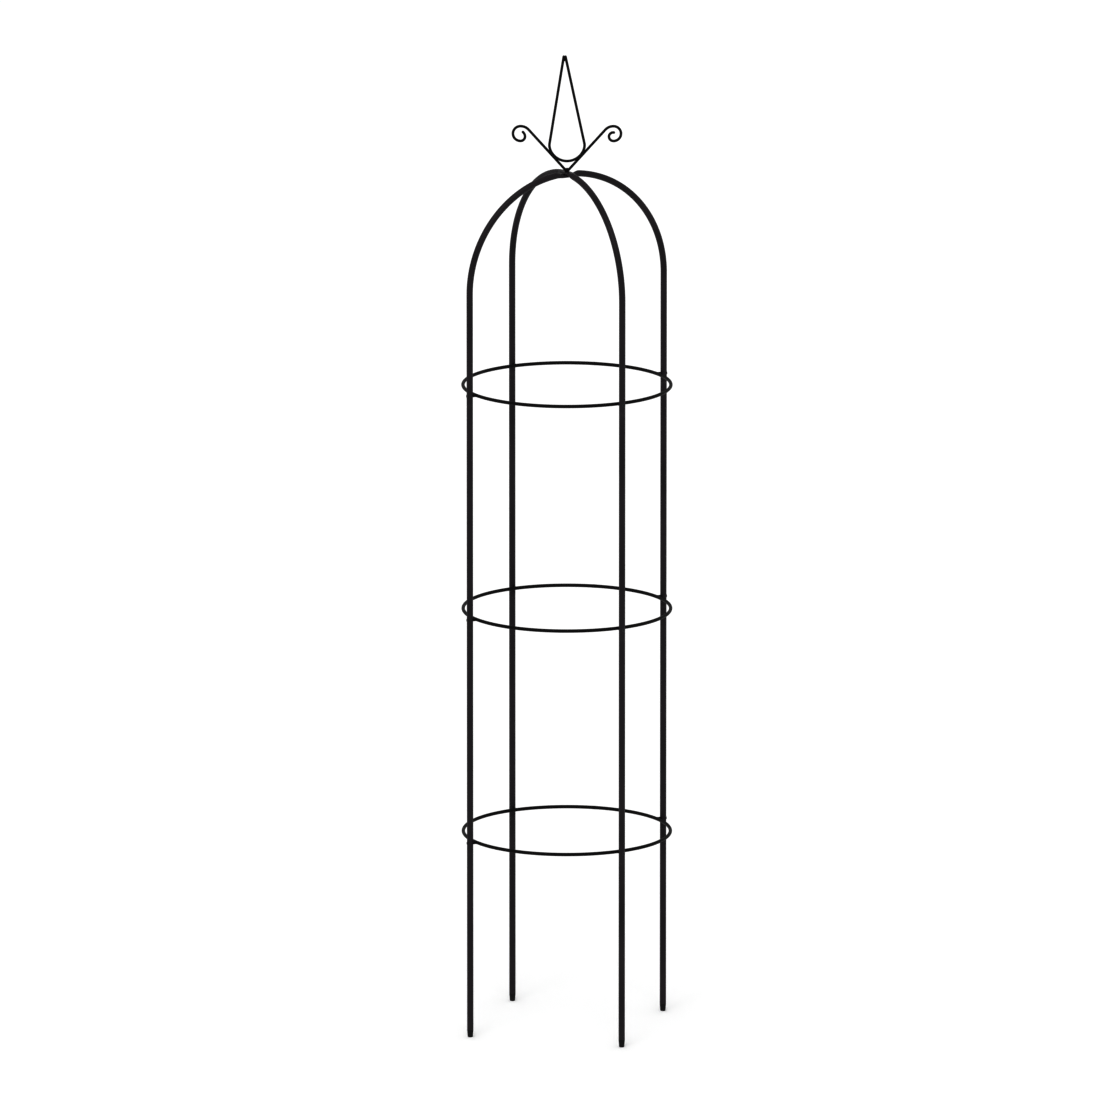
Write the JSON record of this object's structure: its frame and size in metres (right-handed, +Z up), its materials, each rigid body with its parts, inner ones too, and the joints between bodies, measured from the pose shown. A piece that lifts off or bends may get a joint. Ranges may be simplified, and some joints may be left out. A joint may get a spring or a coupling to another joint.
{
  "type": "garden obelisk",
  "caption": "Freestanding domed plant support: upright tube legs joined by wire rings, crossed arches on top and a wire finial with scrolls and a teardrop loop.",
  "frame": {"origin": "on the ground, midway between the four feet", "axes": "+Z up through the finial; +X towards leg 1, +Y towards leg 2; the lower arch spans X and the upper arch spans Y"},
  "size_m": [0.4388, 0.4388, 1.9],
  "materials": {
    "powder_coat": "satin black powder coat",
    "screw_coat": "semi-gloss black coated steel",
    "foot_plastic": "matt moulded black plastic"
  },
  "bodies": {
    "root": {"arch_lower": "powder_coat", "arch_upper": "powder_coat", "leg_1_lower": "powder_coat", "leg_1_middle": "powder_coat", "leg_1_upper": "powder_coat", "leg_2_lower": "powder_coat", "leg_2_middle": "powder_coat", "leg_2_upper": "powder_coat", "leg_3_lower": "powder_coat", "leg_3_middle": "powder_coat", "leg_3_upper": "powder_coat", "leg_4_lower": "powder_coat", "leg_4_middle": "powder_coat", "leg_4_upper": "powder_coat", "foot_tip_1": "foot_plastic", "foot_tip_2": "foot_plastic", "foot_tip_3": "foot_plastic", "foot_tip_4": "foot_plastic", "ring_bottom": "powder_coat", "ring_middle": "powder_coat", "ring_top": "powder_coat", "ring_bottom_bosses": "powder_coat", "ring_middle_bosses": "powder_coat", "ring_top_bosses": "powder_coat", "ring_bottom_screws": "screw_coat", "ring_middle_screws": "screw_coat", "ring_top_screws": "screw_coat", "finial_boss": "powder_coat", "finial_scroll_left": "powder_coat", "finial_scroll_right": "powder_coat", "finial_teardrop": "powder_coat", "crown_screw": "screw_coat"}
  },
  "joints": []
}
